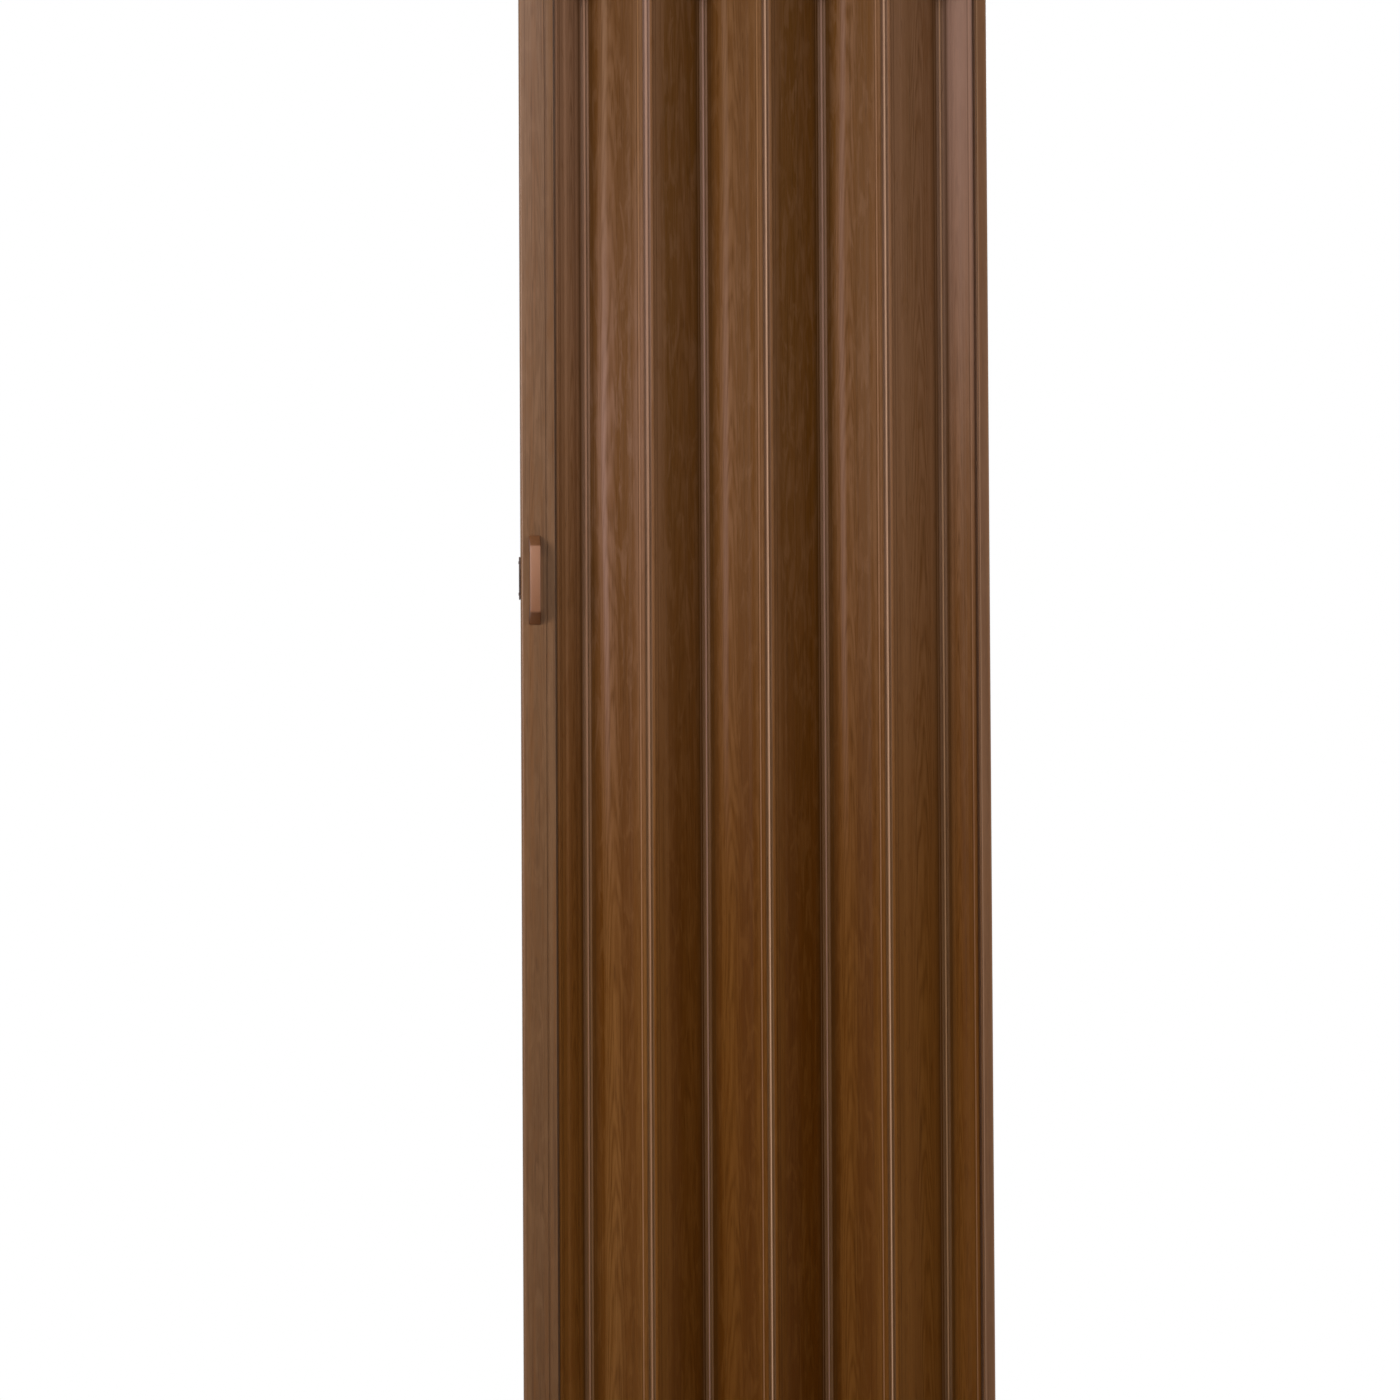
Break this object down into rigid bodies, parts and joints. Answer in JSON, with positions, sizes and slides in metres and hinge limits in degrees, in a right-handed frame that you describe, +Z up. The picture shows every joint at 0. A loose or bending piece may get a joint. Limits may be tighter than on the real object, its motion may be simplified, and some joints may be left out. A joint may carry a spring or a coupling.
{
  "type": "folding door",
  "caption": "Accordion folding door of hollow wood-print slats on hinge strips, hung from a top track, with a pull on each face of its lead post.",
  "frame": {"origin": "centre of the top track's upper face, which is screwed up under the lintel", "axes": "+X along the track from the lead post to the wall channel, +Y from the room side to the far side, +Z up"},
  "size_m": [0.82, 0.067, 2.0243],
  "materials": {
    "wood_print": "semi-gloss brown wood-grain print on hollow PVC slats",
    "wood_print_pale": "semi-gloss brown wood-grain print, on strips, post, channel and track",
    "pull_plastic": "plain light brown moulded plastic, satin",
    "dark_trim": "dark brown plastic, satin",
    "nylon": "white moulded nylon",
    "axle_steel": "bright drawn steel",
    "screw_zinc": "zinc-plated steel",
    "magnet": "dark sintered ferrite"
  },
  "bodies": {
    "frame": {"top_track": "wood_print_pale", "wall_channel": "wood_print_pale", "jamb_insert": "wood_print_pale"},
    "half_slat_jamb": {"half_slat_jamb": "wood_print"},
    "hinge_strip_7": {"hinge_strip_7": "wood_print_pale"},
    "slat_6": {"slat_6": "wood_print", "hanger_plug_6": "nylon"},
    "carriage_6": {"carriage_6": "nylon"},
    "hinge_strip_6": {"hinge_strip_6": "wood_print_pale"},
    "slat_5": {"slat_5": "wood_print"},
    "hinge_strip_5": {"hinge_strip_5": "wood_print_pale"},
    "slat_4": {"slat_4": "wood_print", "hanger_plug_4": "nylon"},
    "carriage_4": {"carriage_4": "nylon"},
    "hinge_strip_4": {"hinge_strip_4": "wood_print_pale"},
    "slat_3": {"slat_3": "wood_print"},
    "hinge_strip_3": {"hinge_strip_3": "wood_print_pale"},
    "slat_2": {"slat_2": "wood_print", "hanger_plug_2": "nylon"},
    "carriage_2": {"carriage_2": "nylon"},
    "hinge_strip_2": {"hinge_strip_2": "wood_print_pale"},
    "slat_1": {"slat_1": "wood_print"},
    "hinge_strip_1": {"hinge_strip_1": "wood_print_pale"},
    "half_slat_lead": {"half_slat_lead": "wood_print"},
    "lead_post": {"lead_post": "wood_print_pale", "front_handle": "pull_plastic", "rear_handle": "pull_plastic", "handle_screw_upper": "screw_zinc", "handle_screw_lower": "screw_zinc", "catch_plate": "dark_trim", "catch_magnet": "magnet", "catch_screw_upper": "screw_zinc", "catch_screw_lower": "screw_zinc", "lead_plug": "nylon", "lead_plug_pin": "axle_steel", "lead_carriage": "nylon", "foot_cap": "dark_trim"},
    "wheel_pair_6": {"carriage_6_axle": "axle_steel", "carriage_6_wheel_front": "nylon", "carriage_6_wheel_rear": "nylon"},
    "wheel_pair_4": {"carriage_4_axle": "axle_steel", "carriage_4_wheel_front": "nylon", "carriage_4_wheel_rear": "nylon"},
    "wheel_pair_2": {"carriage_2_axle": "axle_steel", "carriage_2_wheel_front": "nylon", "carriage_2_wheel_rear": "nylon"},
    "lead_wheel_pair_a": {"lead_axle_a": "axle_steel", "lead_wheel_a_front": "nylon", "lead_wheel_a_rear": "nylon"},
    "lead_wheel_pair_b": {"lead_axle_b": "axle_steel", "lead_wheel_b_front": "nylon", "lead_wheel_b_rear": "nylon"}
  },
  "joints": [
    {"name": "fold", "type": "hinge", "parent": "frame", "child": "half_slat_jamb", "pos_m": [0.3902, 0, -1.028], "axis": [0, 0, -1], "range_deg": [-35, 42]},
    {"name": "strip_7_turn", "type": "hinge", "parent": "half_slat_jamb", "child": "hinge_strip_7", "pos_m": [0.35496, 0.02957, -1.028], "axis": [0, 0, -1], "range_deg": [-42, 35]},
    {"name": "slat_6_turn", "type": "hinge", "parent": "hinge_strip_7", "child": "slat_6", "pos_m": [0.34196, 0.02957, -1.028], "axis": [0, 0, -1], "range_deg": [-42, 35]},
    {"name": "carriage_6_swivel", "type": "hinge", "parent": "slat_6", "child": "carriage_6", "pos_m": [0.30672, 0, -1.028], "axis": [0, 0, -1], "range_deg": [-35, 42]},
    {"name": "strip_6_turn", "type": "hinge", "parent": "slat_6", "child": "hinge_strip_6", "pos_m": [0.27149, -0.02957, -1.028], "axis": [0, 0, -1], "range_deg": [-35, 42]},
    {"name": "slat_5_turn", "type": "hinge", "parent": "hinge_strip_6", "child": "slat_5", "pos_m": [0.25849, -0.02957, -1.028], "axis": [0, 0, -1], "range_deg": [-35, 42]},
    {"name": "strip_5_turn", "type": "hinge", "parent": "slat_5", "child": "hinge_strip_5", "pos_m": [0.18801, 0.02957, -1.028], "axis": [0, 0, -1], "range_deg": [-42, 35]},
    {"name": "slat_4_turn", "type": "hinge", "parent": "hinge_strip_5", "child": "slat_4", "pos_m": [0.17501, 0.02957, -1.028], "axis": [0, 0, -1], "range_deg": [-42, 35]},
    {"name": "carriage_4_swivel", "type": "hinge", "parent": "slat_4", "child": "carriage_4", "pos_m": [0.13977, 0, -1.028], "axis": [0, 0, -1], "range_deg": [-35, 42]},
    {"name": "strip_4_turn", "type": "hinge", "parent": "slat_4", "child": "hinge_strip_4", "pos_m": [0.10453, -0.02957, -1.028], "axis": [0, 0, -1], "range_deg": [-35, 42]},
    {"name": "slat_3_turn", "type": "hinge", "parent": "hinge_strip_4", "child": "slat_3", "pos_m": [0.09153, -0.02957, -1.028], "axis": [0, 0, -1], "range_deg": [-35, 42]},
    {"name": "strip_3_turn", "type": "hinge", "parent": "slat_3", "child": "hinge_strip_3", "pos_m": [0.02106, 0.02957, -1.028], "axis": [0, 0, -1], "range_deg": [-42, 35]},
    {"name": "slat_2_turn", "type": "hinge", "parent": "hinge_strip_3", "child": "slat_2", "pos_m": [0.00806, 0.02957, -1.028], "axis": [0, 0, -1], "range_deg": [-42, 35]},
    {"name": "carriage_2_swivel", "type": "hinge", "parent": "slat_2", "child": "carriage_2", "pos_m": [-0.02718, 0, -1.028], "axis": [0, 0, -1], "range_deg": [-35, 42]},
    {"name": "strip_2_turn", "type": "hinge", "parent": "slat_2", "child": "hinge_strip_2", "pos_m": [-0.06242, -0.02957, -1.028], "axis": [0, 0, -1], "range_deg": [-35, 42]},
    {"name": "slat_1_turn", "type": "hinge", "parent": "hinge_strip_2", "child": "slat_1", "pos_m": [-0.07542, -0.02957, -1.028], "axis": [0, 0, -1], "range_deg": [-35, 42]},
    {"name": "strip_1_turn", "type": "hinge", "parent": "slat_1", "child": "hinge_strip_1", "pos_m": [-0.14589, 0.02957, -1.028], "axis": [0, 0, -1], "range_deg": [-42, 35]},
    {"name": "half_slat_lead_turn", "type": "hinge", "parent": "hinge_strip_1", "child": "half_slat_lead", "pos_m": [-0.1589, 0.02957, -1.028], "axis": [0, 0, -1], "range_deg": [-42, 35]},
    {"name": "lead_post_turn", "type": "hinge", "parent": "half_slat_lead", "child": "lead_post", "pos_m": [-0.19413, 0, -1.028], "axis": [0, 0, -1], "range_deg": [-35, 42]},
    {"name": "wheel_pair_6_roll", "type": "hinge", "parent": "carriage_6", "child": "wheel_pair_6", "pos_m": [0.30672, 0, -0.0222], "axis": [0, 1, 0], "continuous": true},
    {"name": "wheel_pair_4_roll", "type": "hinge", "parent": "carriage_4", "child": "wheel_pair_4", "pos_m": [0.13977, 0, -0.0222], "axis": [0, 1, 0], "continuous": true},
    {"name": "wheel_pair_2_roll", "type": "hinge", "parent": "carriage_2", "child": "wheel_pair_2", "pos_m": [-0.02718, 0, -0.0222], "axis": [0, 1, 0], "continuous": true},
    {"name": "lead_wheel_pair_a_roll", "type": "hinge", "parent": "lead_post", "child": "lead_wheel_pair_a", "pos_m": [-0.24563, 0, -0.0222], "axis": [0, 1, 0], "continuous": true},
    {"name": "lead_wheel_pair_b_roll", "type": "hinge", "parent": "lead_post", "child": "lead_wheel_pair_b", "pos_m": [-0.21163, 0, -0.0222], "axis": [0, 1, 0], "continuous": true}
  ],
  "couplings": [
    {"joint": "strip_7_turn", "follows": "fold", "ratio": -1},
    {"joint": "slat_6_turn", "follows": "fold", "ratio": -1},
    {"joint": "carriage_6_swivel", "follows": "fold", "ratio": 1},
    {"joint": "strip_6_turn", "follows": "fold", "ratio": 1},
    {"joint": "slat_5_turn", "follows": "fold", "ratio": 1},
    {"joint": "strip_5_turn", "follows": "fold", "ratio": -1},
    {"joint": "slat_4_turn", "follows": "fold", "ratio": -1},
    {"joint": "carriage_4_swivel", "follows": "fold", "ratio": 1},
    {"joint": "strip_4_turn", "follows": "fold", "ratio": 1},
    {"joint": "slat_3_turn", "follows": "fold", "ratio": 1},
    {"joint": "strip_3_turn", "follows": "fold", "ratio": -1},
    {"joint": "slat_2_turn", "follows": "fold", "ratio": -1},
    {"joint": "carriage_2_swivel", "follows": "fold", "ratio": 1},
    {"joint": "strip_2_turn", "follows": "fold", "ratio": 1},
    {"joint": "slat_1_turn", "follows": "fold", "ratio": 1},
    {"joint": "strip_1_turn", "follows": "fold", "ratio": -1},
    {"joint": "half_slat_lead_turn", "follows": "fold", "ratio": -1},
    {"joint": "lead_post_turn", "follows": "fold", "ratio": 1}
  ]
}
